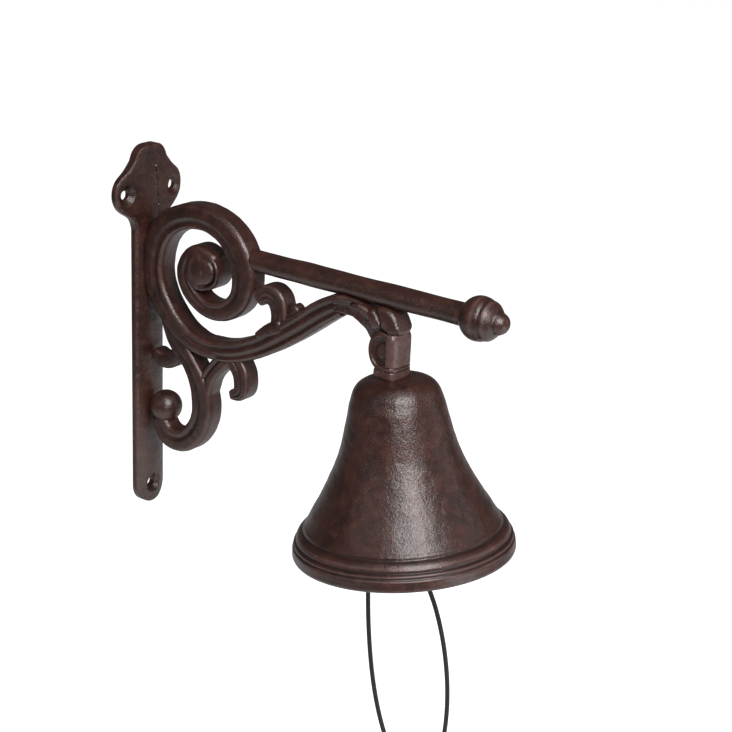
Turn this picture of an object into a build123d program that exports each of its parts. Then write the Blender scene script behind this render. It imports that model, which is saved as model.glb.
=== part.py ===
from build123d import *
import math
import os

# A cast iron wall bell: a one-piece scroll bracket, a bell bolted under its end,
# and a clapper that hangs inside the bell with a looped pull cord.
# Origin: midway between the two upper screw holes, on the wall face of the plate.
# +Z is up, -Y points away from the wall, X runs along the wall. Sizes in millimetres.
# The scroll lies in the plane X = 0, and its points are (reach from the wall, height).

# Wall plate
bar_width = 24.0
plate_height = 226.0
plate_top = 28.0
plate_edge = 3.2
plate_crown = 6.4
lobe_reach = 28.0
head_floor = -20.0
foot_round = 11.9
screw_spacing = 39.0
screw_hole = 6.0
screw_head = 11.0
foot_hole_up = 12.0

# Scrollwork
scroll_depth = 7.5
leaf_depth = 6.0
stem_depth = 6.5
curl_depth = 5.5
ball_radius = 9.8
ball_reach = 17.0
ball_height = -131.9
eye_reach = 51.8
eye_height = -38.2
eye_radius = 11.4
eye_shoulder = 1.6
eye_dome = 8.4
eye_bulge = 1.6
eye_crease = 1.0
flute_radius = 1.3
flute_bite = 0.9
vein_radius = 0.9
petal_inset = 1.5
knuckle_inset = 1.4

# Arm and finial
rod_radius = 6.4
rod_height = -26.1
rod_start = 82.0
arm_reach = 255.0
finial_length = 27.5
finial_radius = 11.4
knob_radius = 3.2

# Lug at the end of the branch
lug_half_width = 9.2
lug_rear = 176.8
lug_front = 187.4
lug_crown = 3.0
roll_reach = 181.0
roll_height = -56.0
roll_wide = 8.4
roll_tall = 11.0
roll_edge = 1.6
roll_rim = 0.7
roll_ring = 1.8
roll_ring_deep = 1.1
collar_top = -63.0
score_width = 0.9
score_deep = 0.6
score_heights = (-65.0, -66.9)
lug_spare = 6.0

# Bell
mouth_radius = 62.6
bell_height = 100.5
bell_tilt = 6.3
seat_reach = 186.0
seat_height = -71.4
wall = 4.2
crown_wall = 5.5

# Bolt, washer and nut
bolt_diameter = 6.0
bolt_play = 0.3
thread_gap = 0.1
bolt_in_lug = 15.0
bore_spare = 1.0
bolt_chamfer = 0.6
eye_wire = 2.2
eye_hole = 2.8
washer_diameter = 16.0
washer_thickness = 1.6
nut_flats = 10.0
nut_height = 5.0
seat_gap = 0.1
shank_below_nut = 1.0

# Link and clapper
link_wire = 1.5
link_pitch = 13.0
clapper_eye_wire = 2.0
clapper_eye_hole = 3.2
clapper_rod = 2.6
clapper_drop = 54.0
clapper_ball = 12.0
tail_drop = 20.0
tail_wire = 1.8
swing_gap = 0.3

# Pull cord, from the clapper's tail ring round its loop and back
cord_diameter = 2.7
cord_room = 0.95
knot_spacing = 2.3
knot_tail = 9.0
knot_lean = 0.55
knot_drop = 0.7
cord_points = [
    (0.0, -188.6, -170.85),
    (0.0, -182.6, -170.85),
    (-1.1, -177.8, -173.7),
    (-2.1, -175.4, -179.2),
    (-2.6, -174.9, -188.0),
    (-3.0, -175.5, -201.0),
    (-3.3, -176.5, -217.0),
    (-3.2, -178.1, -235.0),
    (-2.6, -180.4, -254.0),
    (-1.6, -183.6, -272.0),
    (-0.2, -187.8, -288.5),
    (1.5, -192.4, -301.5),
    (3.4, -197.6, -310.4),
    (5.6, -204.0, -314.8),
    (7.9, -211.2, -314.4),
    (9.9, -217.2, -309.4),
    (11.4, -221.0, -300.0),
    (12.4, -223.0, -286.5),
    (13.0, -223.6, -269.0),
    (13.0, -222.6, -251.0),
    (12.3, -220.2, -233.0),
    (11.0, -216.8, -216.5),
    (9.4, -212.2, -201.0),
    (6.4, -207.2, -188.0),
    (3.4, -203.2, -178.8),
    (1.0, -199.4, -173.5),
    (0.0, -194.6, -170.85),
    (0.0, -189.0, -170.85),
]

os.makedirs("parts", exist_ok=True)
side = Plane(origin=(0, 0, 0), x_dir=(0, -1, 0), z_dir=(-1, 0, 0))
front = Plane(origin=(0, 0, 0), x_dir=(1, 0, 0), z_dir=(0, -1, 0))
plate_foot = plate_top - plate_height
half_bar = bar_width / 2
lean = math.radians(bell_tilt)
up_bell = Vector(0, math.sin(lean), math.cos(lean))
out_bell = Vector(0, -math.cos(lean), math.sin(lean))
seat = Vector(0, -seat_reach, seat_height)
seat_plane = Plane(origin=seat, x_dir=(1, 0, 0), z_dir=up_bell)
upward = (Align.CENTER, Align.CENTER, Align.MIN)
downward = (Align.CENTER, Align.CENTER, Align.MAX)
hole_face = plate_edge + (plate_crown - plate_edge) * (1 - (screw_spacing / 2 / lobe_reach) ** 2)


def course(stations):
    """The spots of a limb's (reach, height, half width) stations, and the unit steps across it there."""
    spots = [Vector(reach, height) for reach, height, _ in stations]
    before = [spots[0] * 2 - spots[1]] + spots[:-1]
    after = spots[1:] + [spots[-1] * 2 - spots[-2]]
    ways = [(b - a).normalized() for a, b in zip(before, after)]
    return spots, ways, [Vector(-way.Y, way.X) for way in ways]


def limb(stations, depth, edge, tip=False):
    """A scroll limb: a band through its stations, depth to each side, long edges rounded.

    Its start, and its end unless it is a tip, are flat and lie inside a neighbouring limb.
    """
    spots, ways, steps = course(stations)
    widths = [width for _, _, width in stations]
    left = [spot + step * width for spot, step, width in zip(spots, steps, widths)]
    right = [spot - step * width for spot, step, width in zip(spots, steps, widths)]
    with BuildPart() as band:
        with BuildSketch(side):
            with BuildLine():
                Spline(*left)
                if tip:
                    ThreePointArc(left[-1], spots[-1] + ways[-1] * widths[-1], right[-1])
                else:
                    Line(left[-1], right[-1])
                Spline(*reversed(right))
                Line(right[0], left[0])
            make_face()
        extrude(amount=depth, both=True)
        rims = band.faces().filter_by(Axis.X).edges()
        fillet(rims.filter_by(GeomType.LINE, reverse=True), edge)
    return band.part


def flute(stations, depth, shift, radius=flute_radius):
    """Rounded grooves along both sides of a limb, shift half widths from its middle."""
    spots, _, steps = course(stations)
    line = [tuple(spot + step * width * shift) for spot, step, (_, _, width) in zip(spots, steps, stations)]
    with BuildPart() as groove:
        with BuildLine(side.offset(depth + radius - flute_bite)) as path:
            Spline(*line)
        with BuildSketch(Plane(path.wire() @ 0, z_dir=path.wire() % 0)):
            Circle(radius)
        sweep()
        mirror(about=Plane.YZ)
    return groove.part


# Limbs of the scroll, from the arm back to the wall
branch_line = [
    (149.0, -37.5, 6.2),
    (139.0, -43.2, 7.2),
    (125.0, -53.5, 7.3),
    (111.0, -63.4, 7.2),
    (97.0, -72.3, 6.9),
    (83.0, -79.3, 6.6),
    (68.0, -84.0, 6.2),
    (53.0, -85.2, 6.0),
]
branch = limb(branch_line, scroll_depth, 3.0)
ring_line = [
    (68.0, -84.0, 6.2),
    (53.0, -85.5, 5.7),
    (37.0, -81.5, 6.0),
    (22.8, -70.6, 6.9),
    (12.6, -55.0, 8.0),
    (11.6, -36.0, 8.2),
    (21.0, -17.5, 8.0),
    (37.0, -8.9, 7.5),
    (55.0, -8.1, 7.5),
    (70.5, -16.0, 8.1),
    (79.8, -32.0, 8.2),
    (78.1, -48.8, 7.0),
    (67.2, -59.2, 6.0),
    (53.0, -60.9, 5.4),
    (40.2, -53.2, 5.2),
    (35.5, -43.0, 5.0),
    (38.8, -33.6, 5.0),
    (47.5, -28.6, 5.0),
    (56.0, -31.0, 4.6),
]
ring = limb(ring_line, scroll_depth, 2.8)
arch_line = [
    (147.0, -36.8, 5.4),
    (158.0, -36.2, 5.2),
    (169.0, -40.8, 5.2),
    (177.5, -50.0, 6.0),
]
arch = limb(arch_line, scroll_depth, 3.0)
sprout_line = [
    (105.0, -69.0, 8.0),
    (106.8, -58.0, 5.8),
    (106.3, -49.5, 6.0),
    (103.2, -43.8, 6.4),
    (97.5, -42.9, 5.9),
    (93.0, -46.2, 4.2),
]
sprout = limb(sprout_line, leaf_depth, 2.4, tip=True)
petal_line = [
    (108.0, -62.0, 3.6),
    (112.5, -54.5, 3.6),
    (116.8, -48.0, 3.2),
]
petal = limb(petal_line, leaf_depth - petal_inset, 1.6, tip=True)
hanging_leaf_line = [
    (70.0, -84.0, 6.6),
    (76.8, -92.0, 5.9),
    (79.8, -100.8, 5.6),
    (77.8, -107.5, 4.6),
    (73.2, -109.3, 3.2),
]
hanging_leaf = limb(hanging_leaf_line, leaf_depth, 1.8, tip=True)
stem_line = [
    (23.5, -72.0, 7.0),
    (30.2, -86.5, 7.3),
    (39.5, -98.0, 5.8),
    (46.8, -110.0, 7.2),
    (49.6, -122.0, 7.8),
    (47.7, -134.0, 7.6),
    (41.0, -144.0, 7.4),
    (31.0, -149.7, 7.1),
    (21.0, -148.0, 6.8),
    (15.5, -140.0, 6.0),
]
stem = limb(stem_line, stem_depth, 3.0)
root_line = [
    (72.0, -82.0, 6.0),
    (64.0, -91.5, 5.4),
    (55.8, -101.0, 4.9),
    (50.6, -112.0, 6.2),
]
root = limb(root_line, leaf_depth, 3.0)
curl_line = [
    (33.0, -91.0, 5.0),
    (24.5, -99.5, 5.0),
    (17.0, -101.2, 4.8),
    (12.5, -99.5, 4.2),
]
curl = limb(curl_line, curl_depth, 2.6, tip=True)
knuckle_line = [
    (172.0, -40.0, 6.0),
    (182.0, -38.5, 6.5),
    (186.5, -43.0, 5.0),
]
knuckle = limb(knuckle_line, lug_half_width - knuckle_inset, 2.6, tip=True)

# Bracket: plate, scroll, arm, finial and lug are one casting
crown_line = [(-half_bar, -plate_edge), (0, -plate_crown), (half_bar, -plate_edge)]
head_crown_line = [(-lobe_reach, -plate_edge), (0, -plate_crown), (lobe_reach, -plate_edge)]
with BuildPart() as bar:
    with BuildSketch(front):
        with Locations((0, (head_floor + plate_foot + foot_round) / 2)):
            Rectangle(bar_width, head_floor - plate_foot - foot_round)
        with Locations((0, plate_foot + foot_round)):
            Ellipse(half_bar, foot_round)
    extrude(amount=plate_crown)
    with BuildSketch(Plane.XY.offset(plate_foot)):
        with BuildLine():
            Line((-half_bar, 0), (half_bar, 0))
            Line((half_bar, 0), crown_line[2])
            ThreePointArc(*crown_line)
            Line(crown_line[0], (-half_bar, 0))
        make_face()
    extrude(amount=plate_height, mode=Mode.INTERSECT)

head_outline = [
    (0.0, plate_top),
    (6.7, 27.3),
    (11.0, 24.0),
    (13.3, 19.3),
]
shoulder = [
    (13.3, 19.3),
    (20.0, 12.6),
    (25.0, 8.8),
    (lobe_reach, 0.0),
    (25.2, -7.4),
    (19.6, -12.0),
    (14.6, -15.6),
    (half_bar, -22.0),
]
with BuildPart() as head:
    with BuildSketch(front):
        with BuildLine():
            Spline(*head_outline)
            Spline(*shoulder)
            Line(shoulder[-1], (0, shoulder[-1][1]))
            Line((0, shoulder[-1][1]), (0, plate_top))
        make_face()
        mirror(about=Plane.YZ)
    extrude(amount=plate_crown)
    with BuildSketch(Plane.XY.offset(-plate_top)):
        with BuildLine():
            Line((-lobe_reach, 0), (lobe_reach, 0))
            Line((lobe_reach, 0), head_crown_line[2])
            ThreePointArc(*head_crown_line)
            Line(head_crown_line[0], (-lobe_reach, 0))
        make_face()
    extrude(amount=2 * plate_top, mode=Mode.INTERSECT)

finial = [
    (finial_length, rod_radius),
    (24.6, 8.4),
    (21.6, 10.4),
    (19.2, finial_radius - 0.4),
]
groove = (18.5, finial_radius - 1.1)
nose = [
    (17.8, finial_radius - 0.3),
    (16.4, finial_radius),
    (12.4, 9.9),
    (8.2, 6.9),
    (4.2, knob_radius + 0.5),
]
knob = [nose[-1], (3.4, knob_radius - 0.2), (2.2, knob_radius), (0.7, knob_radius - 1.0), (0, 0)]
finial, nose, knob = [
    [(at - arm_reach, rod_height + out) for at, out in run] for run in (finial, nose, knob)
]
groove = (groove[0] - arm_reach, rod_height + groove[1])
with BuildPart() as arm:
    with BuildSketch(Plane.YZ):
        with BuildLine():
            Line((-rod_start, rod_height + rod_radius), finial[0])
            Spline(*finial)
            ThreePointArc(finial[-1], groove, nose[0])
            Spline(*nose)
            Spline(*knob)
            Line(knob[-1], (-rod_start, rod_height))
            Line((-rod_start, rod_height), (-rod_start, rod_height + rod_radius))
        make_face()
    revolve(axis=Axis((0, -rod_start, rod_height), (0, -1, 0)))

with BuildPart() as collar:
    with BuildSketch(Plane.XY.offset(collar_top)):
        with BuildLine():
            Line((-lug_half_width, -lug_rear), (lug_half_width, -lug_rear))
            Line((lug_half_width, -lug_rear), (lug_half_width, -lug_front))
            ThreePointArc(
                (lug_half_width, -lug_front), (0, -lug_front - lug_crown), (-lug_half_width, -lug_front)
            )
            Line((-lug_half_width, -lug_front), (-lug_half_width, -lug_rear))
        make_face()
    extrude(amount=seat_height - lug_spare - collar_top)
    split(bisect_by=seat_plane, keep=Keep.TOP)

# Eye of the coil: a drum with a sunk ring and a dome on each side
with BuildPart() as eye:
    with BuildSketch(Plane.XY):
        with BuildLine():
            Line((0, 0), (0, eye_radius))
            Line((0, eye_radius), (scroll_depth - eye_shoulder, eye_radius))
            ThreePointArc(
                (scroll_depth - eye_shoulder, eye_radius),
                (scroll_depth - eye_shoulder * 0.3, eye_radius - eye_shoulder * 0.3),
                (scroll_depth, eye_radius - eye_shoulder),
            )
            Line((scroll_depth, eye_radius - eye_shoulder), (scroll_depth - eye_crease, eye_dome))
            ThreePointArc(
                (scroll_depth - eye_crease, eye_dome),
                (scroll_depth + eye_bulge * 0.6, eye_dome * 0.6),
                (scroll_depth + eye_bulge, 0),
            )
            Line((scroll_depth + eye_bulge, 0), (0, 0))
        make_face()
    revolve(axis=Axis.X)
    mirror(about=Plane.YZ)
eye_drum = eye.part.moved(Location((0, -eye_reach, eye_height)))

ring_inset = roll_edge + roll_rim
with BuildPart() as roll:
    with BuildSketch(side):
        with Locations((roll_reach, roll_height)):
            Ellipse(roll_wide, roll_tall)
    extrude(amount=lug_half_width, both=True)
    fillet(roll.faces().filter_by(Axis.X).edges(), roll_edge)

flutes = [
    flute(branch_line[:-2] + ring_line[:10], scroll_depth, -0.35),
    flute(ring_line[10:-2], scroll_depth, -0.35),
    flute(branch_line, scroll_depth, 0.36),
    flute(stem_line, stem_depth, -0.3),
    flute(sprout_line[1:], leaf_depth, 0.1, vein_radius),
    flute(hanging_leaf_line[1:], leaf_depth, 0.15, vein_radius),
]
with BuildPart() as bracket:
    add(bar)
    add(head)
    add(arm)
    for piece in (ring, branch, arch, stem, root, sprout, petal, hanging_leaf, curl, knuckle):
        add(piece)
    add(collar)
    add(roll)
    add(eye_drum)
    with Locations((0, -ball_reach, ball_height)):
        Sphere(ball_radius)
    for cut in flutes:
        add(cut, mode=Mode.SUBTRACT)
    for face in (Plane.YZ.offset(lug_half_width), Plane.YZ.offset(-lug_half_width)):
        with BuildSketch(face):
            with Locations((-roll_reach, roll_height)):
                Ellipse(roll_wide - ring_inset, roll_tall - ring_inset)
                Ellipse(
                    roll_wide - ring_inset - roll_ring,
                    roll_tall - ring_inset - roll_ring,
                    mode=Mode.SUBTRACT,
                )
        extrude(amount=roll_ring_deep, both=True, mode=Mode.SUBTRACT)
    for height in score_heights:
        with Locations((0, -lug_front - lug_crown, height)):
            Box(lug_half_width, 2 * score_deep, score_width, mode=Mode.SUBTRACT)
    head_spots = [(-screw_spacing / 2, -hole_face, 0), (screw_spacing / 2, -hole_face, 0)]
    foot_spot = (0, -plate_crown, plate_foot + foot_hole_up)
    for spot in head_spots + [foot_spot]:
        with Locations(Plane(origin=spot, x_dir=(1, 0, 0), z_dir=(0, -1, 0))):
            CounterSinkHole(screw_hole / 2, screw_head / 2, counter_sink_angle=90)
    with Locations(seat_plane):
        Cylinder(
            bolt_diameter / 2 + thread_gap,
            bolt_in_lug + bore_spare,
            align=upward,
            mode=Mode.SUBTRACT,
        )

bracket.part.label = "bracket"
export_step(bracket.part, "parts/bracket.step")

# Bell, turned about its own leaning axis
bell_plane = Plane(origin=seat - up_bell * (bell_height + seat_gap), x_dir=(1, 0, 0), z_dir=out_bell)
bell_axis = Axis(seat, up_bell)
lip = [
    (mouth_radius - 0.8, 0.0),
    (mouth_radius, 1.2),
    (mouth_radius - 0.4, 6.8),
    (mouth_radius - 1.8, 7.4),
    (mouth_radius - 1.4, 8.4),
    (mouth_radius - 2.2, 9.6),
    (mouth_radius - 3.4, 10.0),
]
bead_top = (mouth_radius - 6.0, 15.0)
waist = [
    (mouth_radius - 7.0, 15.6),
    (50.4, 26.0),
    (44.4, 36.0),
    (38.2, 48.0),
    (33.2, 60.0),
    (29.9, 72.0),
    (27.6, 82.0),
    (25.2, 90.5),
]
crown_flat = 14.5
inside = [
    (mouth_radius - wall - 0.6, 0.0),
    (mouth_radius - wall - 4.6, 9.0),
    (46.4, 25.0),
    (40.2, 36.0),
    (34.0, 48.0),
    (29.0, 60.0),
    (25.7, 72.0),
    (23.2, 82.0),
]
roof = bell_height - crown_wall
with BuildPart() as bell:
    with BuildSketch(bell_plane):
        with BuildLine():
            Polyline(*lip)
            ThreePointArc(lip[-1], (mouth_radius - 3.9, 12.9), bead_top)
            Line(bead_top, waist[0])
            Spline(*waist)
            Spline(
                waist[-1],
                (21.6, bell_height - 3.6),
                (crown_flat, bell_height),
                tangents=[(-0.28, 1), (-1, 0.0)],
            )
            Line((crown_flat, bell_height), (0, bell_height))
            Line((0, bell_height), (0, roof))
            Line((0, roof), (13.0, roof))
            Spline((13.0, roof), (19.6, roof - 4.2), inside[-1], tangents=[(1, 0), (0.22, -1)])
            Spline(*reversed(inside))
            Line(inside[0], lip[0])
        make_face()
    revolve(axis=bell_axis)
    with Locations(seat_plane):
        Hole(bolt_diameter / 2 + bolt_play)
bell.part.label = "bell"
export_step(bell.part, "parts/bell.step")

# Eye bolt, screwed into the lug and carrying the bell on its washer and nut
washer_top = seat_gap + crown_wall + seat_gap
nut_top = washer_top + washer_thickness + seat_gap
nut_bottom = nut_top + nut_height
eye_mean = eye_hole + eye_wire
eye_drop = nut_bottom + shank_below_nut + eye_wire + eye_mean
with BuildPart() as eye_bolt:
    with Locations(seat_plane.offset(bolt_in_lug)):
        Cylinder(bolt_diameter / 2, bolt_in_lug + eye_drop - eye_mean, align=downward)
    chamfer(eye_bolt.faces().sort_by(Axis.Z)[-1].edges(), bolt_chamfer)
    with Locations(Plane(origin=seat - up_bell * eye_drop, x_dir=(1, 0, 0), z_dir=out_bell)):
        Torus(eye_mean, eye_wire)
eye_bolt.part.label = "eye_bolt"
export_step(eye_bolt.part, "parts/eye_bolt.step")

with BuildPart() as crown_washer:
    with Locations(seat_plane.offset(-washer_top)):
        Cylinder(washer_diameter / 2, washer_thickness, align=downward)
        Hole(bolt_diameter / 2 + bolt_play)
crown_washer.part.label = "crown_washer"
export_step(crown_washer.part, "parts/crown_washer.step")

with BuildPart() as clamp_nut:
    with BuildSketch(seat_plane.offset(-nut_top)):
        RegularPolygon(nut_flats / 2, 6, major_radius=False)
    extrude(amount=-nut_height)
    with Locations(seat_plane.offset(-nut_top)):
        Hole(bolt_diameter / 2 + thread_gap)
clamp_nut.part.label = "clamp_nut"
export_step(clamp_nut.part, "parts/clamp_nut.step")

# Link, a wire oval through the eye of the bolt
swing_point = seat - up_bell * (eye_drop + eye_mean)
link_bend = max(eye_wire, clapper_eye_wire) + link_wire + swing_gap
link_straight = link_pitch - link_bend
with BuildPart() as clapper_link:
    with BuildLine(Plane(origin=swing_point, x_dir=(0, 1, 0), z_dir=(1, 0, 0))) as oval:
        Line((-link_bend, 0), (-link_bend, -link_straight))
        ThreePointArc((-link_bend, -link_straight), (0, -link_pitch), (link_bend, -link_straight))
        Line((link_bend, -link_straight), (link_bend, 0))
        ThreePointArc((link_bend, 0), (0, link_bend), (-link_bend, 0))
    with BuildSketch(Plane(origin=swing_point + Vector(0, -link_bend, 0), z_dir=(0, 0, -1))):
        Circle(link_wire)
    sweep()
clapper_link.part.label = "clapper_link"
export_step(clapper_link.part, "parts/clapper_link.step")

# Clapper: eye, rod, ball and tail ring in one casting, hanging plumb
clapper_eye_mean = clapper_eye_hole + clapper_eye_wire
clapper_eye_at = swing_point - Vector(0, 0, link_straight + clapper_eye_mean)
ball_at = swing_point - Vector(0, 0, clapper_drop)
tail_mean = cord_diameter / 2 + cord_room + tail_wire
tail_at = ball_at - Vector(0, 0, tail_drop)
rod_top = clapper_eye_at - Vector(0, 0, clapper_eye_mean)
with BuildPart() as clapper:
    with Locations(Plane(origin=clapper_eye_at, x_dir=(1, 0, 0), z_dir=(0, -1, 0))):
        Torus(clapper_eye_mean, clapper_eye_wire)
    with Locations(rod_top):
        Cylinder(clapper_rod, rod_top.Z - tail_at.Z - tail_mean, align=downward)
    with Locations(ball_at):
        Sphere(clapper_ball)
    with Locations(Plane(origin=tail_at, x_dir=(1, 0, 0), z_dir=(0, -1, 0))):
        Torus(tail_mean, tail_wire)
clapper.part.label = "clapper"
export_step(clapper.part, "parts/clapper.step")

# Pull cord, a springy loop whose two ends meet inside the tail ring
cord_ends = [Vector(*point) for point in cord_points]
cord_runs = [after - before for before, after in zip(cord_ends, cord_ends[1:])]
cord_bends = []
for first, second in zip(cord_runs, cord_runs[1:]):
    half_turn = math.radians(first.get_angle(second)) / 2
    cord_bends.append(0.45 * min(first.length, second.length) / math.tan(half_turn))
with BuildPart() as pull_cord:
    with BuildLine() as route:
        FilletPolyline(*cord_points, radius=cord_bends)
    with BuildSketch(Plane(origin=cord_ends[0], z_dir=cord_runs[0])):
        Circle(cord_diameter / 2)
    sweep()
pull_cord.part.label = "pull_cord"
export_step(pull_cord.part, "parts/pull_cord.step")
print("cord radii", [round(bend, 1) for bend in cord_bends])
cord_length = route.wire().length
print("cord length", cord_length)
print("cord volume", pull_cord.part.volume, math.pi * cord_diameter**2 / 4 * cord_length)

# Knot at the foot of the loop: three turns laid round the cord, and two short ends
knot_step = len(cord_points) // 2 - 1
knot_run = cord_runs[knot_step]
knot_at = cord_ends[knot_step] + knot_run * 0.5
knot_plane = Plane(origin=knot_at, z_dir=knot_run)
with BuildPart() as cord_knot:
    with Locations(*[knot_plane.offset(knot_spacing * step) for step in (-1, 0, 1)]):
        Torus(cord_diameter, cord_diameter / 2)
    with Locations(knot_plane):
        Cylinder(cord_diameter, 2 * knot_spacing)
    for lean_to in (-knot_lean, knot_lean):
        way = (knot_run.normalized() * lean_to - Vector(0, 0, knot_drop)).normalized()
        with Locations(Plane(origin=knot_at, z_dir=way)):
            Cylinder(cord_diameter / 2, knot_tail, align=upward)
    add(pull_cord.part, mode=Mode.SUBTRACT)
cord_knot.part.label = "cord_knot"
export_step(cord_knot.part, "parts/cord_knot.step")
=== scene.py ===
"""A cast iron wall bell: scroll bracket, bolted bell, clapper and a looped pull cord.

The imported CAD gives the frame. The bracket and the bell are rebuilt here as fine castings, in
millimetres, from (reach from the wall, height) stations like those of the CAD model.
"""

import math

import bmesh
import bpy
import numpy as np
from mathutils import Matrix
from mathutils.geometry import delaunay_2d_cdt


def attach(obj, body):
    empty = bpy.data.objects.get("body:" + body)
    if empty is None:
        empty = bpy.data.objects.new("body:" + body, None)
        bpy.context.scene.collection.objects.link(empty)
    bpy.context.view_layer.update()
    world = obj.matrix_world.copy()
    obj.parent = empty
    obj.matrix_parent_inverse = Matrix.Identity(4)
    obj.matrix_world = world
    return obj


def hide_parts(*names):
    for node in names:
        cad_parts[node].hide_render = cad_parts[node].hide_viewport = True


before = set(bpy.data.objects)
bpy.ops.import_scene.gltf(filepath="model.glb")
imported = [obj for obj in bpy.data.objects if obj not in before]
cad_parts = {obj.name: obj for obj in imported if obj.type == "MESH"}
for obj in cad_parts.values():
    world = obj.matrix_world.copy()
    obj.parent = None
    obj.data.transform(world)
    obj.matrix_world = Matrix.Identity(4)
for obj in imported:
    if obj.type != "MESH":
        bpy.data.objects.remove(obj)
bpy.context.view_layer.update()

TAU = 2 * math.pi
X = np.array([1.0, 0, 0])
Y = np.array([0, 1.0, 0])
LEAN = math.radians(6.3)  # of the bell, its mouth away from the wall
SEAT = np.array([0, -186.0, -71.4])  # where the bell's crown meets the lug


def through(points, count):
    """Natural cubic through the rows of points, at count even steps of its chord length."""
    p = np.asarray(points, float)
    chord = np.concatenate([[0], np.cumsum(np.linalg.norm(np.diff(p[:, :2], axis=0), axis=1))])
    h = np.diff(chord)[:, None]
    k = len(p)
    mid = np.arange(1, k - 1)
    a = np.eye(k)
    a[mid, mid - 1] = h[:-1, 0]
    a[mid, mid] = 2 * (h[:-1, 0] + h[1:, 0])
    a[mid, mid + 1] = h[1:, 0]
    b = np.zeros_like(p)
    b[1:-1] = 6 * ((p[2:] - p[1:-1]) / h[1:] - (p[1:-1] - p[:-2]) / h[:-1])
    m = np.linalg.solve(a, b)
    t = np.linspace(0, chord[-1], count)
    i = np.clip(np.searchsorted(chord, t, side="right") - 1, 0, k - 2)
    d = (t - chord[i])[:, None]
    h = h[i]
    slope = (p[i + 1] - p[i]) / h - h * (2 * m[i] + m[i + 1]) / 6
    return p[i] + d * slope + d**2 * m[i] / 2 + d**3 * (m[i + 1] - m[i]) / (6 * h)


def bump(x, centre, width):
    """1 at centre, falling smoothly to 0 at width away."""
    near = np.clip(1 - np.abs(x - centre) / width, 0, 1)
    return near**2 * (3 - 2 * near)


def wobble(points, size, seed):
    """Smooth unevenness between about -1 and 1: sines of period near size, in directions fixed by seed."""
    rng = np.random.default_rng(seed)
    ways = rng.normal(size=(9, 3))
    ways *= (TAU / size * rng.uniform(0.6, 1.7, 9) / np.linalg.norm(ways, axis=1))[:, None]
    return np.sin(points @ ways.T + rng.uniform(0, TAU, 9)).mean(axis=-1) * 1.6


def tube_faces(rows, across, looped=False):
    """Blocks of faces of a grid closed across its rows: the quads, then a fan at each end unless looped.

    A looped grid has its last row joined to its first. The fans use the two points after the grid's own.
    """
    i, j = np.meshgrid(np.arange(rows - (not looped)), np.arange(across), indexing="ij")
    k = (j + 1) % across
    up = (i + 1) % rows
    quads = np.stack([i * across + j, i * across + k, up * across + k, up * across + j], -1).reshape(-1, 4)
    if looped:
        return [quads]
    j, k = j[0], k[0]
    start = np.full(across, rows * across)
    low = np.stack([start, k, j], -1)
    high = np.stack([start + 1, (rows - 1) * across + j, (rows - 1) * across + k], -1)
    return [quads, low, high]


def sheet(points, wear_and_shade, looped=False):
    """A closed grid as (points, scuffing and painted shade, faces), with a middle point for the fan at each end."""
    rows, across, _ = points.shape
    spots, marks = points.reshape(-1, 3), wear_and_shade.ravel()
    if not looped:
        spots = np.concatenate([spots, points[0].mean(0)[None], points[-1].mean(0)[None]])
        marks = np.concatenate([marks, wear_and_shade[:1].mean(1), wear_and_shade[-1:].mean(1)])
    return spots, marks, tube_faces(rows, across, looped)


def casting(name, node, parts, sharp=50):
    """One iron mesh of parts, each (points in mm, scuffing and painted shade, blocks of faces), that stands for a node
    of the frame.

    The middle entry is 0 in a hollow, 0.5 on a plain face and 1 on a scuffed ridge; the iron's paint reads it,
    painting shade into the hollows, creases and cracks and greyer scuffing onto the ridges. Edges of more than sharp
    degrees are shaded sharp.
    """
    faces, first = [], 0
    for points, _, own in parts:
        for block in own:
            faces += (block + first).tolist()
        first += len(points)
    mesh = bpy.data.meshes.new(name)
    mesh.from_pydata((np.concatenate([points for points, _, _ in parts]) / 1000).tolist(), [], faces)
    wear_and_shade_values = np.concatenate([wear_and_shade for _, wear_and_shade, _ in parts]).astype(np.float32)
    mesh.attributes.new("wear_and_shade", "FLOAT", "POINT").data.foreach_set("value", wear_and_shade_values)
    made = bmesh.new()
    made.from_mesh(mesh)
    bmesh.ops.remove_doubles(made, verts=made.verts, dist=3e-6)
    bmesh.ops.recalc_face_normals(made, faces=made.faces)
    made.to_mesh(mesh)
    made.free()
    mesh.polygons.foreach_set("use_smooth", np.ones(len(mesh.polygons), bool))
    mesh.set_sharp_from_angle(angle=math.radians(sharp))
    mesh.materials.append(iron)
    mesh.update()
    obj = bpy.data.objects.new(name, mesh)
    bpy.context.scene.collection.objects.link(obj)
    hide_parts(node)
    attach(obj, "frame")


def section():
    """A rounded square from -1 to 1: (a, b) with most of its points on the two sides that carry relief."""
    face, corner, edge = 22, 5, 4
    flat = np.linspace(-0.62, 0.62, face)
    turn = np.linspace(0, math.pi / 2, corner + 2)[1:-1]
    level = np.linspace(-0.6, 0.6, edge)
    a = np.concatenate([flat[::-1], -0.62 - 0.38 * np.sin(turn), np.full(edge, -1.0), -0.62 - 0.38 * np.cos(turn)])
    b = np.concatenate([np.full(face, 1.0), 0.6 + 0.4 * np.cos(turn), level[::-1], -0.6 - 0.4 * np.sin(turn)])
    return np.concatenate([a, -a]), np.concatenate([b, -b])


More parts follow.
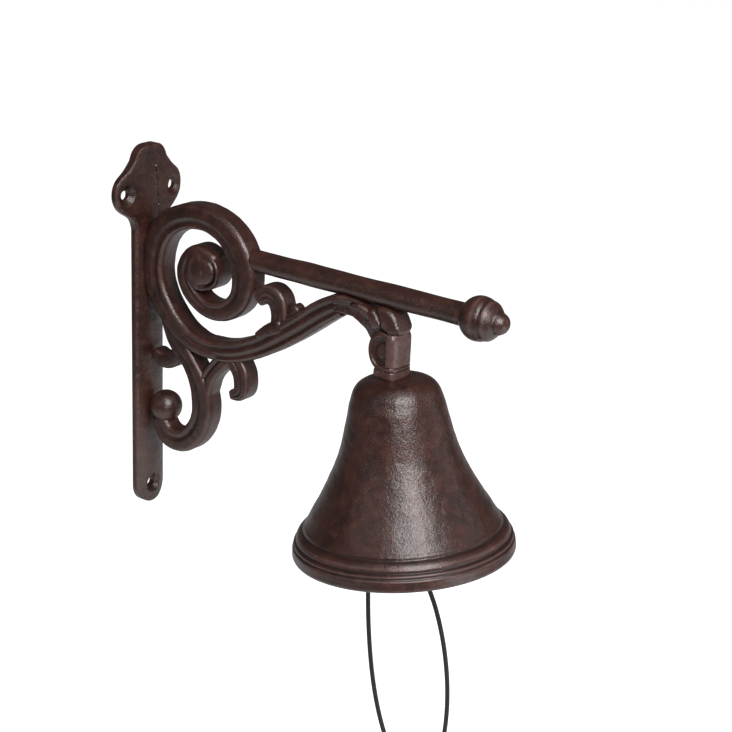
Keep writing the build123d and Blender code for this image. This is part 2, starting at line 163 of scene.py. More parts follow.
def limb(stations, depth, relief, rows, tips=(False, False)):
    """A scroll limb swept through (reach, height, half width) stations in the plane x = 0.

    depth is half its thickness across the plane. relief(u, a) is how far, in mm, the side faces are carved
    at share u of the length and a from -1 to 1 across. Each end named in tips is closed as half a ball.
    """
    line = through(stations, rows)
    way = np.gradient(line[:, :2], axis=0)
    way /= np.linalg.norm(way, axis=1)[:, None]
    line = np.c_[line, np.full(rows, depth), np.linspace(0, 1, rows)]
    turn = np.radians(np.linspace(6, 84, 12))
    for end, sign, rounded in zip((0, -1), (-1, 1), tips):
        if rounded:
            cap = np.repeat(line[end][None], len(turn), 0)
            cap[:, :2] += sign * way[end] * cap[:, 2:3] * np.sin(turn)[:, None]
            cap[:, 2:3] *= np.cos(turn)[:, None]
            cap[:, 3:4] *= np.cos(turn)[:, None] ** 0.7
            extra = np.repeat(way[end][None], len(turn), 0)
            line = np.concatenate([cap[::-1], line] if end == 0 else [line, cap])
            way = np.concatenate([extra, way] if end == 0 else [way, extra])
    a, b = section()
    share = line[:, 4:5]
    carve = relief(share, a[None, :]) + 0 * share
    side = np.clip((np.abs(b) - 0.6) / 0.4, 0, 1) ** 0.6
    x = line[:, 3:4] * b - np.sign(b) * carve * side * (line[:, 3:4] / depth)
    reach = line[:, :1] - way[:, 1:] * line[:, 2:3] * a
    height = line[:, 1:2] + way[:, :1] * line[:, 2:3] * a
    points = np.stack([x, -reach, height], -1)
    uneven = 0.13 * wobble(points, 17, 1) + 0.08 * wobble(points, 6, 41)
    points += uneven[..., None] * np.stack([b + 0 * reach, way[:, 1:] * a, way[:, :1] * a], -1)
    # Painted shade in the carved hollows of the side faces; the outer edges are painted greyer.
    rim = 0.6 + 0.3 * bump(np.abs(a), 0.85, 0.3) * side
    return sheet(points, np.clip(rim - 0.4 * carve * side, 0, 1))


def turned(profile, around, centre, axis, first_way, rough=0.0):
    """A surface of revolution: rows of (radius, height) turned about an axis through centre, rough by that many mm."""
    line = np.asarray(profile, float)
    angle = np.linspace(0, TAU, around, endpoint=False)
    out = np.cos(angle)[:, None] * first_way + np.sin(angle)[:, None] * np.cross(axis, first_way)
    points = np.asarray(centre) + line[:, None, 1:2] * axis + line[:, None, :1] * out
    return points + rough * wobble(points, 26, 2)[..., None] * out


# Grooves and ridges on the sides of the scroll's limbs: depth in mm at share u along and a from -1 to 1 across
def fluted(u, a):
    """Three rounded ridges side by side, the middle one the highest, that swell and fade along the limb."""
    swell = 0.75 + 0.25 * np.sin(u * 9 + 1)
    sunk = 1.6 * np.clip((u - 0.88) / 0.12, 0, 1) ** 2
    grooves = 1.3 * swell * bump(a, -0.36, 0.34) + 1.2 * (1.6 - swell) * bump(a, 0.38, 0.34)
    return grooves + 0.5 * a**4 + sunk


def ridged(u, a):
    """A broad hollow inside the middle, and a face that falls away to a rounded outer edge."""
    sunk = 1.8 * np.clip(1 - u / 0.045, 0, 1) ** 2
    hollow = bump(a, -0.38, 0.42) * (0.8 + 0.2 * np.sin(u * 31))
    return hollow + 0.9 * np.clip(a - 0.25, 0, 1) ** 1.5 + 0.4 * a**4 + sunk


def stemmed(u, a):
    """A groove off the middle that fades at both ends, and a face that falls to its edges."""
    return 0.6 * a**4 + 1.2 * bump(a, -0.3, 0.4) * (0.25 + 0.75 * np.sin(math.pi * u))


def arched(u, a):
    """Two leaf lobes, sunk at the end that runs into the roll."""
    lobe = (u * 2.6 - 0.6 * a**2 + 0.25) % 1
    return (1.7 * lobe**2 + 0.4 * bump(a, 0.0, 0.2)) * (1 - u**4) + 2.6 * np.clip((u - 0.62) / 0.25, 0, 1)


def knuckled(u, a):
    """A round lobe with one crease across its foot."""
    return 0.9 * a**2 + 1.3 * bump(u + 0.15 * a, 0.34, 0.12)


def veined(u, a):
    """A deep vein with a finer one beside it, both fading towards the tip."""
    return (1.05 - u) * (1.2 * bump(a, 0.1, 0.26) + 0.6 * bump(a, -0.45, 0.2)) + 0.35 * bump(a, 0.62, 0.2)


def plain(u, a):
    """A face that falls a little to its edges."""
    return 0.7 * a**2


# The scroll's limbs, as stations of (reach from the wall, height, half width) in mm
RING = [
    (68.0, -84.0, 6.2), (53.0, -85.5, 5.7), (37.0, -81.5, 6.0), (22.8, -70.6, 6.9), (12.6, -55.0, 8.0),
    (11.6, -36.0, 8.2), (21.0, -17.5, 8.0), (37.0, -8.9, 7.5), (55.0, -8.1, 7.5), (70.5, -16.0, 8.1),
    (79.8, -32.0, 8.2), (78.1, -48.8, 7.0), (67.2, -59.2, 6.0), (53.0, -60.9, 5.4), (40.2, -53.2, 5.2),
    (35.5, -43.0, 5.0), (38.8, -33.6, 5.0), (47.5, -28.6, 5.0), (56.0, -31.0, 4.6),
]
BRANCH = [
    (149.0, -37.5, 6.2), (139.0, -43.2, 7.2), (125.0, -53.5, 7.3), (111.0, -63.4, 7.2), (97.0, -72.3, 6.9),
    (83.0, -79.3, 6.6), (68.0, -84.0, 6.2), (53.0, -85.2, 6.0),
]
ARCH = [(147.0, -36.8, 5.4), (158.0, -36.2, 5.2), (169.0, -40.8, 5.2), (177.5, -50.0, 6.0)]
SPROUT = [(105.0, -69.0, 8.0), (106.8, -58.0, 5.8), (106.3, -49.5, 6.0), (103.2, -43.8, 6.4), (97.5, -42.9, 5.9),
          (93.0, -46.2, 4.2)]
PETAL = [(108.0, -62.0, 3.6), (112.5, -54.5, 3.6), (116.8, -48.0, 3.2)]
LEAFLET = [(107.5, -59.5, 4.2), (99.5, -63.6, 3.8), (93.5, -67.4, 2.6)]
HANGING = [(70.0, -84.0, 6.6), (76.8, -92.0, 5.9), (79.8, -100.8, 5.6), (77.8, -107.5, 4.6), (73.2, -109.3, 3.2)]
STEM = [
    (23.5, -72.0, 7.0), (30.2, -86.5, 7.3), (39.5, -98.0, 5.8), (46.8, -110.0, 7.2), (49.6, -122.0, 7.8),
    (47.7, -134.0, 7.6), (41.0, -144.0, 7.4), (31.0, -149.7, 7.1), (21.0, -148.0, 6.8), (15.5, -140.0, 6.0),
]
ROOT = [(72.0, -82.0, 6.0), (64.0, -91.5, 5.4), (55.8, -101.0, 4.9), (50.6, -112.0, 6.2)]
CURL = [(33.0, -91.0, 5.0), (24.5, -99.5, 5.0), (17.0, -101.2, 4.8), (12.5, -99.5, 4.2)]
KNUCKLE = [(172.0, -40.0, 6.0), (182.0, -38.5, 6.5), (186.5, -43.0, 5.0)]


# The plate
def circle(x, z, radius):
    """48 points round (x, z)."""
    angle = np.linspace(0, TAU, 48, endpoint=False)
    return np.c_[x + radius * np.cos(angle), z + radius * np.sin(angle)]


def filled(loops, extra):
    """The area inside the first loop and outside the others, which are circles, as triangles: (points, faces)."""
    points = np.concatenate(loops + [extra])
    edges, first = [], 0
    for loop in loops:
        i = np.arange(len(loop))
        edges += np.c_[i + first, (i + 1) % len(loop) + first].tolist()
        first += len(loop)
    spots, _, faces, _, _, _ = delaunay_2d_cdt(points.tolist(), edges, [], 1, 1e-7)
    spots, faces = np.array(spots), np.array(faces)
    middle = spots[faces].mean(1)
    keep = np.ones(len(faces), bool)
    for loop in loops[1:]:
        keep &= np.linalg.norm(middle - loop.mean(0), axis=1) > np.linalg.norm(loop[0] - loop.mean(0)) * 0.97
    return spots, faces[keep]


def flash(z):
    """Where the mould's flash line runs across the head: nearly upright, and jagged."""
    return 3.2 - 0.1 * z + 0.3 * np.sin(z * 1.3) + 0.22 * np.sin(z * 2.9 + 1)


def crowned(x, z):
    """Height of the plate's front over the wall, stepped and cracked along the flash line."""
    share = np.clip((z + 27) / 14, 0, 1)
    share = share**2 * (3 - 2 * share)
    high = 3.2 + 3.2 * (1 - np.minimum(np.abs(x) / (12 + 16 * share), 1) ** 2)
    seam = x - flash(z)
    high = high + (0.85 * bump(z, 3, 24)) * np.clip(0.5 - seam / 0.5, 0, 1) * np.exp(-np.maximum(-seam, 0) / 4)
    spots = np.stack([x, 0 * x, z], -1)
    crack = bump(seam, 0.55, 0.55) * bump(z, 3, 24)
    return high - 1.3 * crack + 0.16 * wobble(spots, 15, 5) + 0.07 * wobble(spots, 5, 6)


def lifted(spots, high):
    """Points (x, z) of the plate at that height over the wall."""
    return np.stack([spots[:, 0], -high + 0 * spots[:, 0], spots[:, 1]], -1)


def plate():
    """The wall plate: a crowned front inside a chamfered outline, a flat back and three countersunk holes."""
    head = through([(0, 28), (6.7, 27.3), (11.0, 24.0), (13.3, 19.3)], 26)
    lobe = [(13.3, 19.3), (20, 12.6), (25, 8.8), (28, 0), (25.2, -7.4), (19.6, -12), (14.6, -15.6), (12, -22)]
    bar = np.c_[np.full(160, 12.0), np.linspace(-23, -186.1, 160)]
    t = np.radians(np.linspace(0, 90, 28))[1:]
    foot = np.c_[12 * np.cos(t), -186.1 - 11.9 * np.sin(t)]
    half = np.concatenate([head, through(lobe, 90)[1:], bar, foot])
    outline = np.concatenate([half, half[-2:0:-1] * (-1, 1)])
    way = np.roll(outline, -1, 0) - np.roll(outline, 1, 0)
    way /= np.linalg.norm(way, axis=1)[:, None]
    chamfer, chamfer_deep = 1.25, 0.9
    inner = outline - chamfer * np.c_[-way[:, 1], way[:, 0]]

    mouth_radius, bore_radius = 5.5, 3.0
    holes = [(-19.5, 0.0, 2.35), (19.5, 0.0, 2.35), (0.0, -186.0, 3.9)]  # x, z, height of the countersink's foot
    mouths = [circle(x, z, mouth_radius) for x, z, _ in holes]
    bores = [circle(x, z, bore_radius) for x, z, _ in holes]

    # Points of the front: a net that keeps off edge, holes and flash line, and rows along that line
    gx, gz = np.meshgrid(np.arange(-27.6, 28, 0.9), np.arange(-197.5, 28, 0.9))
    gx = gx + 0.45 * (np.arange(gx.shape[0]) % 2)[:, None]
    net = np.c_[gx.ravel(), gz.ravel()]
    limit = np.interp(-net[:, 1], -half[:, 1], half[:, 0]) - 1.9
    keep = (np.abs(net[:, 0]) < limit) & (net[:, 1] < 26.2) & (net[:, 1] > -196.3)
    keep &= np.abs(net[:, 0] - flash(net[:, 1]) - 0.45) > np.where(np.abs(net[:, 1] - 3) < 23, 1.0, 0)
    for x, z, _ in holes:
        keep &= np.hypot(net[:, 0] - x, net[:, 1] - z) > 6
    z = np.arange(-19, 25, 0.4)
    lines = [np.c_[flash(z) + off, z] for off in (-0.3, 0.0, 0.3, 0.55, 0.8, 1.15)]
    top, top_faces = filled([inner] + mouths, np.concatenate([net[keep]] + lines))
    back, back_faces = filled([outline] + bores, np.zeros((0, 2)))

    seam = top[:, 0] - flash(top[:, 1])
    # Painted shadow: darker in the crack right of the flash line, a little lighter on the raised step to its left.
    shade = bump(seam, 0.6, 1.1) * bump(top[:, 1], 3, 26) - 0.35 * bump(seam, -0.4, 1.2) * bump(top[:, 1], 3, 24)
    parts = [(lifted(top, crowned(*top.T)), 0.55 - 0.8 * shade, [top_faces]), (lifted(back, 0), 0.5, [back_faces])]
    rim = crowned(*inner.T)
    wall = np.stack([lifted(outline, 0), lifted(outline, rim - chamfer_deep), lifted(inner, rim)])
    marks = np.repeat([0.5, 0.55, 0.85], len(outline))
    parts += [(wall.reshape(-1, 3), marks, tube_faces(3, len(outline))[:1])]
    # Painted shade: the walls of the countersunk holes are darker.
    for (_, _, deep), mouth, bore in zip(holes, mouths, bores):
        wall = np.stack([lifted(mouth, crowned(*mouth.T)), lifted(bore, deep), lifted(bore, 0)])
        parts += [(wall.reshape(-1, 3), 0.3, tube_faces(3, len(bore))[:1])]
    return [(points, np.clip(wear_and_shade + np.zeros(len(points)), 0, 1), faces) for points, wear_and_shade, faces in parts]


# The other solid forms of the bracket
def collar():
    """The block before the roll: a tall bowed front with two scored lines, cut below to the bell's lean.

    Above the roll's foot all that lies behind reach 185 shrinks to a slab, so that the roll shows.
    """
    outline = [(-8.6, 177.0), (-8.9, 183.0), (-9.4, 186.0), (-9.2, 188.0), (-7.4, 189.9), (-4.0, 190.9), (0, 191.2)]
    loop = through(outline + [(-x, y) for x, y in outline[-2::-1]], 101)
    loop = np.concatenate([loop, np.c_[np.linspace(8.6, -8.6, 22)[1:-1], np.full(20, 177.0)]])
    share = np.linspace(0, 1, 90)[:, None]
    low = -71.3 - 0.11 * (loop[:, 1] - 186)
    z = low + (-45.5 - low) * share
    score = bump(z, -64.3 - 0.03 * loop[:, 0], 0.6) + bump(z, -66.3, 0.55)
    swell = 1 + 0.03 * bump(z, -70, 4) - 0.2 * np.clip((z + 49) / 4, 0, 1) ** 2
    swell = swell - 0.06 * score * (loop[:, 1] > 184)
    thin = np.clip((z + 66) / 3, 0, 1)
    reach = 185.0 + (loop[:, 1] - 185.0) * np.where(loop[:, 1] < 185, 1 - 0.95 * thin, swell)
    points = np.stack([loop[:, 0] * swell, -reach, z + 0 * reach], -1)
    points[..., 1] -= 0.14 * wobble(points, 6, 8)
    # Painted shade in the two scored lines, and a painted shadow along the foot where the collar sits on the bell's
    # crown.
    return sheet(points, np.clip(0.9 - 0.8 * score - 0.4 * bump(z, -70.8, 1.2), 0, 1))


def roll():
    """The disc beside the lug: an oval with a raised rim, a sunk ring and a boss on each side."""
    side = [(0.02, 7.6), (0.22, 7.7), (0.4, 7.2), (0.52, 6.4), (0.62, 6.5), (0.74, 8.0), (0.86, 8.7), (0.95, 8.4),
            (1.0, 7.2)]
    line = through(side + [(1.0, 3.0), (1.0, -3.0)] + [(r, -x) for r, x in side[::-1]], 140)
    points = turned(line, 96, (0, 0, 0), X, Y)
    radius = np.linalg.norm(points[..., 1:], axis=-1)
    points[..., 1] = 8.4 * points[..., 1] - 181.0
    points[..., 2] = 11.0 * points[..., 2] - 56.0
    # Painted shade in the sunk ring on each side.
    groove = bump(radius, 0.57, 0.16) * (np.abs(points[..., 0]) > 5)
    return sheet(points, np.clip(0.6 - 0.6 * groove, 0, 1))


def arm():
    """Rod and finial, turned about a line at height -26.1: a round cup, a groove, a nose and a blunt knob."""
    finial = [
        (6.45, 226.0), (6.5, 227.6), (7.0, 228.6), (8.7, 230.0), (10.6, 232.2), (11.8, 234.8), (12.2, 237.4),
        (12.0, 239.8), (11.5, 241.6), (11.05, 242.4), (11.0, 243.0), (11.0, 243.8), (10.4, 245.4), (9.1, 247.0),
        (7.5, 248.5), (6.5, 249.5), (6.2, 250.3), (5.8, 251.3), (4.9, 252.9), (3.4, 254.3), (1.6, 255.0),
        (0.1, 255.2),
    ]
    rod = np.c_[np.full(110, 6.4), np.linspace(78, 225.5, 110)]
    rod[:, 0] += 0.12 * np.sin(rod[:, 1] / 9)
    points = turned(np.concatenate([rod, through(finial, 130)]), 80, (0, 0, -26.1), -Y, X, rough=0.14)
    reach = -points[..., 1]
    # Painted shade in the two grooves; the ridges are painted greyer.
    grooves = 0.5 * bump(reach, 242.7, 1.0) + 0.4 * bump(reach, 249.7, 0.9)
    ridges = 0.3 * bump(reach, 238.5, 3) + 0.3 * bump(reach, 245, 2) + 0.5 * bump(reach, 228.6, 1.5)
    return sheet(points, np.clip(0.5 - grooves + ridges, 0, 1))


def ball(centre, radius):
    """A ball with a little unevenness."""
    angle = np.radians(np.linspace(1, 179, 56))
    line = np.c_[radius * np.sin(angle), -radius * np.cos(angle)]
    points = turned(line, 72, centre, X, Y, rough=0.15)
    return sheet(points, np.full(points.shape[:2], 0.5))


def eye():
    """The drum at the heart of the coil: on each side a dome with a nib, in a crease, inside a rounded shoulder.

    Where the coil runs into it, towards the wall, there is no crease and the side is one low dome.
    """
    middle = np.array([-51.8, -38.2])
    dome = [(8.4 * math.sin(t), 6.5 + 2.6 * math.cos(t)) for t in np.radians(np.linspace(2, 90, 22))]
    dome = [(r, x + 0.5 * math.exp(-((r / 1.1) ** 2))) for r, x in dome]
    shoulder = [(11.4 - 1.6 * (1 - math.cos(t)), 5.9 + 1.6 * math.sin(t)) for t in np.radians(np.linspace(90, 0, 9))]
    half = dome + [(8.7, 6.7), (9.2, 7.2)] + shoulder
    line = half + [(11.4, 3.0), (11.4, 0.0), (11.4, -3.0)] + [(r, -x) for r, x in half[::-1]]
    points = turned(line, 96, (0, *middle), X, Y, rough=0.12)
    radius = np.linalg.norm(points[..., 1:] - middle, axis=-1)
    away = (middle[0] - points[..., 1]) / np.maximum(radius, 1)
    crease = bump(radius, 8.6, 1.5) * (np.abs(points[..., 0]) > 5.8)
    points[..., 0] -= np.sign(points[..., 0]) * crease * 0.8 * np.clip(away + 0.3, 0, 1)
    merged = np.clip(0.3 - 1.6 * away, 0, 1) * (np.abs(points[..., 0]) > 5.8)
    level = 9.1 - 1.9 * (radius / 12.5) ** 2
    points[..., 0] = np.sign(points[..., 0]) * (np.abs(points[..., 0]) * (1 - merged) + level * merged)
    points[..., 1:] += (points[..., 1:] - middle) * (0.14 * merged * (radius > 8.6))[..., None]
    # Painted shade in the crease, darker on the side away from the wall; the middle of each dome is painted greyer.
    return sheet(points, np.clip(0.5 - 0.5 * crease * (away + 0.4) + 0.35 * bump(radius, 0, 2.4), 0, 1))


def bell():
    """The bell, turned about its lean: outside with lip mouldings, flat crown with its hole, and inside."""
    up = np.array([0, math.sin(LEAN), math.cos(LEAN)])
    mouth = SEAT - 100.6 * up
    outside = [
        (58.6, 0.05), (60.6, 0.0), (61.9, 0.3), (62.5, 1.2), (62.55, 3.0), (62.4, 5.0), (62.0, 6.6), (61.3, 7.2),
        (61.15, 7.7), (61.5, 8.3), (61.3, 9.1), (60.5, 9.7), (59.8, 10.2), (60.0, 11.0), (59.7, 12.2), (58.9, 13.6),
        (57.6, 14.8), (56.4, 15.4), (55.75, 15.9), (55.5, 16.8), (54.3, 18.8), (52.1, 22.6), (50.3, 26.0),
        (47.2, 31.0), (44.4, 36.0), (41.2, 42.0), (38.2, 48.0), (35.5, 54.0), (33.2, 60.0), (31.4, 66.0),
        (29.9, 72.0), (28.6, 77.5), (27.6, 82.0), (26.6, 86.5), (25.3, 90.6), (23.9, 94.2), (21.6, 97.2),
        (18.6, 99.2), (15.0, 100.2), (12.0, 100.45), (8.0, 100.5), (3.6, 100.5),
    ]
    inside = [
        (3.3, 100.1), (3.3, 97.5), (3.3, 95.4), (4.0, 95.0), (8.0, 95.0), (13.0, 94.9), (17.4, 93.4), (20.4, 90.0),
        (22.2, 86.0), (23.2, 82.0), (25.7, 72.0), (29.0, 60.0), (34.0, 48.0), (40.2, 36.0), (46.4, 25.0),
        (50.8, 15.5), (53.8, 9.0), (56.6, 3.4), (57.8, 0.6),
    ]
    line = np.concatenate([
        through(outside[:21], 140), through(outside[20:], 160)[1:], through(inside[:3], 6), through(inside[3:], 80)
    ])
    points = turned(line, 240, mouth, up, X)
    v = points - mouth
    h = v @ up
    out = v - h[..., None] * up
    out /= np.maximum(np.linalg.norm(out, axis=-1), 1e-9)[..., None]
    body = np.clip((line[:, 1] - 15) / 10, 0.25, 1)[:, None] * (line[:, :1] > 8)
    points = points + out * ((0.22 * wobble(points, 30, 3) + 0.10 * wobble(points, 9, 4)) * body)[..., None]
    # Painted shade in the grooves of the lip mouldings; the beads are painted greyer.
    grooves = sum(bump(h, at, wide) for at, wide in ((7.4, 0.9), (10.1, 1.1), (15.8, 1.6)))
    ridges = sum(bump(h, at, wide) for at, wide in ((6.4, 0.8), (8.7, 0.8), (12.6, 1.6), (0.2, 1.0)))
    outer = (np.arange(len(line)) < 290)[:, None]
    return sheet(points, np.clip(0.5 + (0.4 * ridges - 0.5 * grooves) * outer, 0, 1), looped=True)


# Paints
class Sum:
    """A shader socket that takes + - and *, each one a Math node in its own tree."""

    def __init__(self, tree, socket):
        self.tree, self.socket = tree, socket

    def node(self, operation, *values, clamp=False):
        made = self.tree.nodes.new("ShaderNodeMath")
        made.operation = operation
        made.use_clamp = clamp
        for slot, value in zip(made.inputs, (self, *values)):
            if isinstance(value, Sum):
                self.tree.links.new(value.socket, slot)
            else:
                slot.default_value = value
        return Sum(self.tree, made.outputs[0])

    def __add__(self, other):
        return self.node("ADD", other)

    def __sub__(self, other):
        return self.node("SUBTRACT", other)

    def __rsub__(self, other):
        return (self * -1) + other

    def __mul__(self, other):
        return self.node("MULTIPLY", other)

    __radd__, __rmul__ = __add__, __mul__

    def held(self):
        """Clamped to 0 to 1."""
        return self.node("ADD", 0.0, clamp=True)

    def step(self, low, high):
        """0 below low, 1 above high, straight between."""
        return ((self - low) * (1 / (high - low))).held()


class Paint:
    """A Principled material on Object coordinates; the other arguments are its fixed inputs, with _ for a space."""

    def __init__(self, name, **fixed):
        self.material = bpy.data.materials.new(name)
        self.material.use_nodes = True
        self.tree = self.material.node_tree
        self.shader = next(n for n in self.tree.nodes if n.type == "BSDF_PRINCIPLED")
        for key, value in fixed.items():
            self.shader.inputs[key.replace("_", " ")].default_value = value
        self.where = self.tree.nodes.new("ShaderNodeTexCoord").outputs["Object"]

    def noise(self, size, detail=3.0, rough=0.55, stretch=(1, 1, 1)):
        """Noise of that grain size in mm."""
        mapping = self.tree.nodes.new("ShaderNodeMapping")
        mapping.inputs["Scale"].default_value = [1000 / size / k for k in stretch]
        self.tree.links.new(self.where, mapping.inputs["Vector"])
        made = self.tree.nodes.new("ShaderNodeTexNoise")
        made.inputs["Scale"].default_value = 1.0
        made.inputs["Detail"].default_value = detail
        made.inputs["Roughness"].default_value = rough
        self.tree.links.new(mapping.outputs[0], made.inputs["Vector"])
        return Sum(self.tree, made.outputs["Fac"])

    def attribute(self, name):
        """A point attribute of the mesh."""
        made = self.tree.nodes.new("ShaderNodeAttribute")
        made.attribute_name = name
        return Sum(self.tree, made.outputs["Fac"])

    def mix(self, share, low, high):
        """The colour low where share is 0, high where it is 1; each a tuple or a socket."""
        made = self.tree.nodes.new("ShaderNodeMix")
        made.data_type = "RGBA"
        self.tree.links.new(share.socket, made.inputs["Factor"])
        for slot, colour in ((made.inputs[6], low), (made.inputs[7], high)):
            if isinstance(colour, tuple):
                slot.default_value = (*colour, 1)
            else:
                self.tree.links.new(colour, slot)
        return made.outputs[2]

    def set(self, name, value):
        self.tree.links.new(value.socket if isinstance(value, Sum) else value, self.shader.inputs[name])

    def relief(self, height, distance):
        """A bump of height, in shares of distance in mm."""
        made = self.tree.nodes.new("ShaderNodeBump")
        made.inputs["Distance"].default_value = distance / 1000
        made.inputs["Strength"].default_value = 1.0
        self.tree.links.new(height.socket, made.inputs["Height"])
        self.tree.links.new(made.outputs["Normal"], self.shader.inputs["Normal"])


def cast_iron(name, reads_marks):
    """Dark chocolate-brown casting: blotches, painted shade in the hollows, greyer scuffed ridges, sand-cast grain.

    A marked one reads the attribute of scuffing and painted shade, which only the castings made here have.
    """
    paint = Paint(name, Specular_IOR_Level=0.62)
    blotch = paint.noise(16, 4)
    patch = paint.noise(5, 4, 0.6)
    grain = paint.noise(1.5, 3, 0.65)
    speck = paint.noise(0.55, 2)
    colour = paint.mix(blotch.step(0.35, 0.68), (0.019, 0.0066, 0.0048), (0.046, 0.0165, 0.0120))
    colour = paint.mix(patch.step(0.5, 0.75) * 0.6, colour, (0.090, 0.030, 0.019))
    if reads_marks:
        wear_and_shade = paint.attribute("wear_and_shade")
        # Painted shade: the hollows, creases, cracks and hole walls of the castings made here are painted darker.
        colour = paint.mix((1 - wear_and_shade.step(0.0, 0.5)) * 0.7, colour, (0.010, 0.0045, 0.0036))
        colour = paint.mix(wear_and_shade.step(0.6, 1.0) * (0.15 + patch * 0.7), colour, (0.160, 0.088, 0.080))
    colour = paint.mix(speck.step(0.60, 0.8) * 0.3, colour, (0.120, 0.073, 0.066))
    paint.set("Base Color", colour)
    paint.set("Roughness", 0.20 + patch * 0.16 + grain * 0.08)
    paint.relief(blotch * 0.5 + patch * 0.45 + grain * 0.60 + speck * 0.24, 0.42)
    return paint.material


iron = cast_iron("cast_iron", True)
iron_plain = cast_iron("cast_iron_plain", False)

steel = Paint("dark_steel", Metallic=0.9)
scuff = steel.noise(1.2, 3, stretch=(1, 1, 3))
steel.set("Base Color", steel.mix(scuff.step(0.4, 0.7), (0.24, 0.218, 0.203), (0.42, 0.39, 0.375)))
steel.set("Roughness", 0.34 + scuff * 0.22)
steel.relief(scuff, 0.05)

cord_paint = Paint("black_cord", Specular_IOR_Level=0.38)
fibre = cord_paint.noise(0.5, 2)
cord_paint.set("Base Color", cord_paint.mix(fibre.step(0.4, 0.7), (0.0045, 0.0045, 0.0045), (0.015, 0.015, 0.015)))
cord_paint.set("Roughness", 0.42 + fibre * 0.2)
cord_paint.relief(fibre, 0.06)

# Pieces: the bracket in two, the bell, and the smaller solids of the frame in better paint
ONE, BOTH = (False, True), (True, True)  # rounded tips
scroll = [
    limb(RING, 7.5, ridged, 400, ONE),
    limb(BRANCH, 7.5, fluted, 160),
    limb(ARCH, 7.5, arched, 80),
    limb(SPROUT, 6.0, veined, 90, ONE),
    limb(PETAL, 4.5, plain, 40, ONE),
    limb(LEAFLET, 7.9, plain, 40, BOTH),
    limb(HANGING, 6.0, veined, 80, ONE),
    limb(STEM, 6.5, stemmed, 170, ONE),
    limb(ROOT, 6.0, stemmed, 70),
    limb(CURL, 5.5, plain, 50, ONE),
    limb(KNUCKLE, 7.8, knuckled, 60, ONE),
]
block = plate() + [collar(), roll(), arm(), ball((0, -17.0, -131.9), 9.8), eye()]
casting("bracket_scroll", "bracket", scroll)
casting("bracket_block", "bracket", block, sharp=34)
casting("bell_casting", "bell", [bell()])
for material, names in (
    (iron_plain, ("clapper",)),
    (steel.material, ("eye_bolt", "crown_washer", "clamp_nut", "clapper_link")),
    (cord_paint.material, ("cord_knot",)),
):
    for name in names:
        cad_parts[name].data.materials.clear()
        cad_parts[name].data.materials.append(material)

# Pull cord: the route of the CAD tube as one smooth line
ROUTE = [
    (0.0, -188.6, -170.85), (0.0, -182.6, -170.85), (-1.1, -177.8, -173.7), (-2.1, -175.4, -179.2),
    (-2.6, -174.9, -188.0), (-3.0, -175.5, -201.0), (-3.3, -176.5, -217.0), (-3.2, -178.1, -235.0),
    (-2.6, -180.4, -254.0), (-1.6, -183.6, -272.0), (-0.2, -187.8, -288.5), (1.5, -192.4, -301.5),
    (3.4, -197.6, -310.4), (5.6, -204.0, -314.8), (7.9, -211.2, -314.4), (9.9, -217.2, -309.4),
    (11.4, -221.0, -300.0), (12.4, -223.0, -286.5), (13.0, -223.6, -269.0), (13.0, -222.6, -251.0),
    (12.3, -220.2, -233.0), (11.0, -216.8, -216.5), (9.4, -212.2, -201.0), (6.4, -207.2, -188.0),
    (3.4, -203.2, -178.8), (1.0, -199.4, -173.5), (0.0, -194.6, -170.85), (0.0, -189.0, -170.85),
]
curve = bpy.data.curves.new("pull_cord_line", "CURVE")
curve.dimensions = "3D"
spline = curve.splines.new("NURBS")
spline.points.add(len(ROUTE) - 1)
for point, place in zip(spline.points, ROUTE):
    point.co = (*(c / 1000 for c in place), 1)
spline.order_u = 3
spline.use_endpoint_u = True
spline.resolution_u = 12
curve.bevel_depth = 0.00135
curve.bevel_resolution = 5
curve.use_fill_caps = True
curve.materials.append(cord_paint.material)
pull_cord = bpy.data.objects.new("pull_cord_line", curve)
bpy.context.scene.collection.objects.link(pull_cord)
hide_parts("pull_cord")
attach(pull_cord, "cord")


def placed(x, y, z, spot):
    """The matrix of an object at spot whose own axes point along x, y and z."""
    matrix = np.eye(4)
    matrix[:3] = np.stack([x, y, z, spot], 1)
    return Matrix(matrix.tolist())


# Camera, fitted to the photograph
around, above, tilt = (math.radians(v) for v in (-53.92, 19.77, 2.28))
back = np.array([math.sin(around) * math.cos(above), -math.cos(around) * math.cos(above), math.sin(above)])
flat = np.array([math.cos(around), math.sin(around), 0])
rise = np.cross(back, flat)
right = math.cos(tilt) * flat + math.sin(tilt) * rise
up = -math.sin(tilt) * flat + math.cos(tilt) * rise
spot = np.array([0, -0.16564, -0.06993]) + back * 0.98948
lens = bpy.data.cameras.new("camera")
lens.sensor_width = 36
lens.lens = 1800 / 732 * 36
lens.clip_end = 20
camera = bpy.data.objects.new("camera", lens)
camera.matrix_world = placed(right, up, back, spot)
bpy.context.scene.collection.objects.link(camera)
bpy.context.scene.camera = camera


def lamp(name, place, aim, wide, high, power, colour=(1, 1, 1)):
    """A soft box at place, turned to aim, in metres and watts."""
    data = bpy.data.lights.new(name, "AREA")
    data.shape = "RECTANGLE"
    data.size, data.size_y = wide, high
    data.energy, data.color = power, colour
    made = bpy.data.objects.new(name, data)
    z = place - aim
    z /= np.linalg.norm(z)
    x = np.cross((0, 0, 1.0), z)
    x /= np.linalg.norm(x)
    made.matrix_world = placed(x, np.cross(z, x), z, place)
    bpy.context.scene.collection.objects.link(made)


def rays_seen(tree, glossy_share):
    """1 for camera and transmission rays, glossy_share for glossy ones and 0 for the rest, as a clamped Sum.

    The photographed iron mirrors very little of the white around it, so its share is small.
    """
    made = tree.nodes.new("ShaderNodeLightPath")
    seen = glossy_share * Sum(tree, made.outputs["Is Glossy Ray"])
    for kind in ("Is Camera Ray", "Is Transmission Ray"):
        seen = seen + Sum(tree, made.outputs[kind])
    return seen.held()


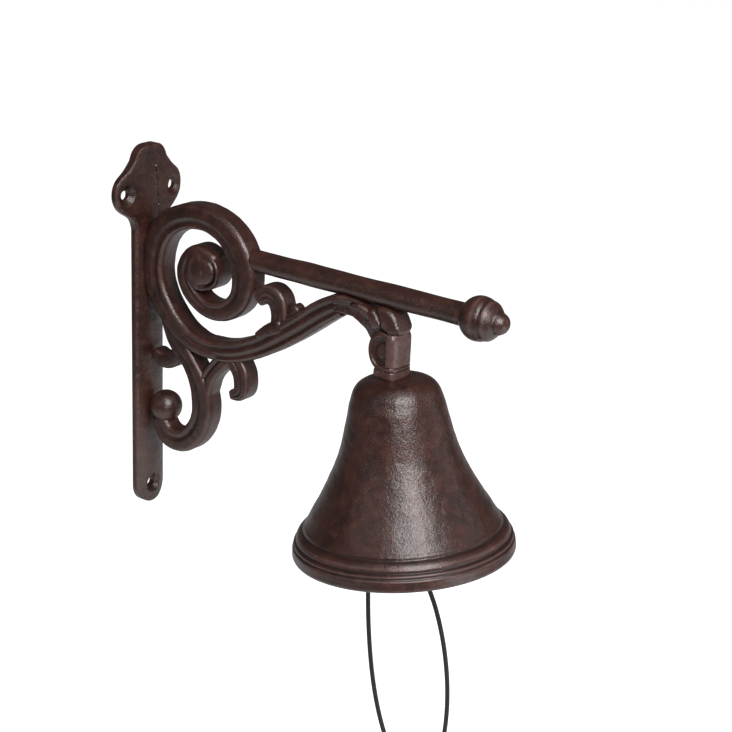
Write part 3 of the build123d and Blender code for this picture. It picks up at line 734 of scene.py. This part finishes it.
aim = np.array([0, -0.15, -0.1])
lamp("key", aim + 1.0 * back + 0.26 * right + 0.36 * up, aim, 0.45, 0.66, 14.5, (1.0, 0.97, 0.97))
lamp("strip", aim + 0.7 * back - 0.75 * right + 0.35 * up, aim, 0.08, 0.9, 0.9, (0.96, 0.97, 1.0))
lamp("top", aim + np.array([-0.15, -0.25, 1.15]), aim, 0.4, 0.4, 2.0)
lamp("side", aim + 0.1 * back + 1.1 * right + 0.3 * up, aim, 0.14, 1.0, 1.2)
lamp("front", np.array([0.02, -0.76, -0.27]), np.array([0, -0.19, -0.06]), 0.26, 0.16, 0.7)

# Pale floor, wider with distance from the camera, that shows white to it and keeps the shadow
ground = bpy.data.meshes.new("floor")
ahead = np.array([-back[0], -back[1], 0]) / math.hypot(back[0], back[1])
near, far = aim - 0.45 * ahead, aim + 6.0 * ahead
corners = [(*(end + out * flat)[:2], -0.36) for end, out in ((near, -0.5), (near, 0.5), (far, 2.2), (far, -2.2))]
ground.from_pydata(corners, [], [(0, 1, 2, 3)])
floor = bpy.data.objects.new("floor", ground)
bpy.context.scene.collection.objects.link(floor)
floor_paint = Paint("floor_white", Roughness=0.9)
floor_paint.shader.inputs["Base Color"].default_value = (0.9, 0.9, 0.9, 1)
floor_paint.shader.inputs["Emission Strength"].default_value = 0.92
seen = rays_seen(floor_paint.tree, 0.25)
floor_paint.set("Emission Color", floor_paint.mix(seen, (0.0, 0.0, 0.0), (1.0, 1.0, 1.0)))
ground.materials.append(floor_paint.material)

# World: white where it is seen, a soft fill as light
world = bpy.data.worlds.new("surround")
bpy.context.scene.world = world
world.use_nodes = True
nodes, links = world.node_tree.nodes, world.node_tree.links
nodes.clear()
choose = nodes.new("ShaderNodeMixShader")
links.new(rays_seen(world.node_tree, 0.02).socket, choose.inputs[0])
for slot, strength in ((choose.inputs[1], 0.07), (choose.inputs[2], 1.0)):
    shade = nodes.new("ShaderNodeBackground")
    shade.inputs["Color"].default_value = (1, 1, 1, 1)
    shade.inputs["Strength"].default_value = strength
    links.new(shade.outputs[0], slot)
links.new(choose.outputs[0], nodes.new("ShaderNodeOutputWorld").inputs["Surface"])

bpy.context.scene.view_settings.view_transform = "Standard"
